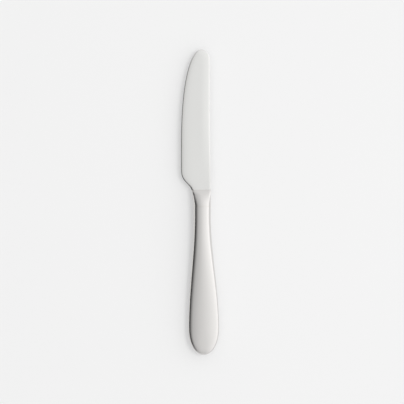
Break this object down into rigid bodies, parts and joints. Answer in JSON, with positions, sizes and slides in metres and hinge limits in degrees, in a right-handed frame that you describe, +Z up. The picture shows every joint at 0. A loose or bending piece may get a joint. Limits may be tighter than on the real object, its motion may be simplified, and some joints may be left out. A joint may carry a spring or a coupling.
{
  "type": "butter knife",
  "caption": "Butter knife with a straight spine, a broad round-tipped blade, a forged bolster and a tapered hollow handle brazed from two half shells.",
  "frame": {"origin": "under the middle of the knife's box, on the surface that the knife lies on", "axes": "+Y along the knife towards the tip of the blade, +X across it towards the spine, +Z up through its thickness"},
  "size_m": [0.0222, 0.178, 0.0084],
  "materials": {
    "blade_steel": "ground and polished",
    "shell_steel": "pressed and polished",
    "braze_metal": "polished flush",
    "cutlers_cement": "cast, matt"
  },
  "bodies": {
    "root": {"blade": "blade_steel", "handle_shell_upper": "shell_steel", "handle_shell_lower": "shell_steel", "seam_braze": "braze_metal", "mouth_braze": "braze_metal", "tang_cement": "cutlers_cement"}
  },
  "joints": []
}
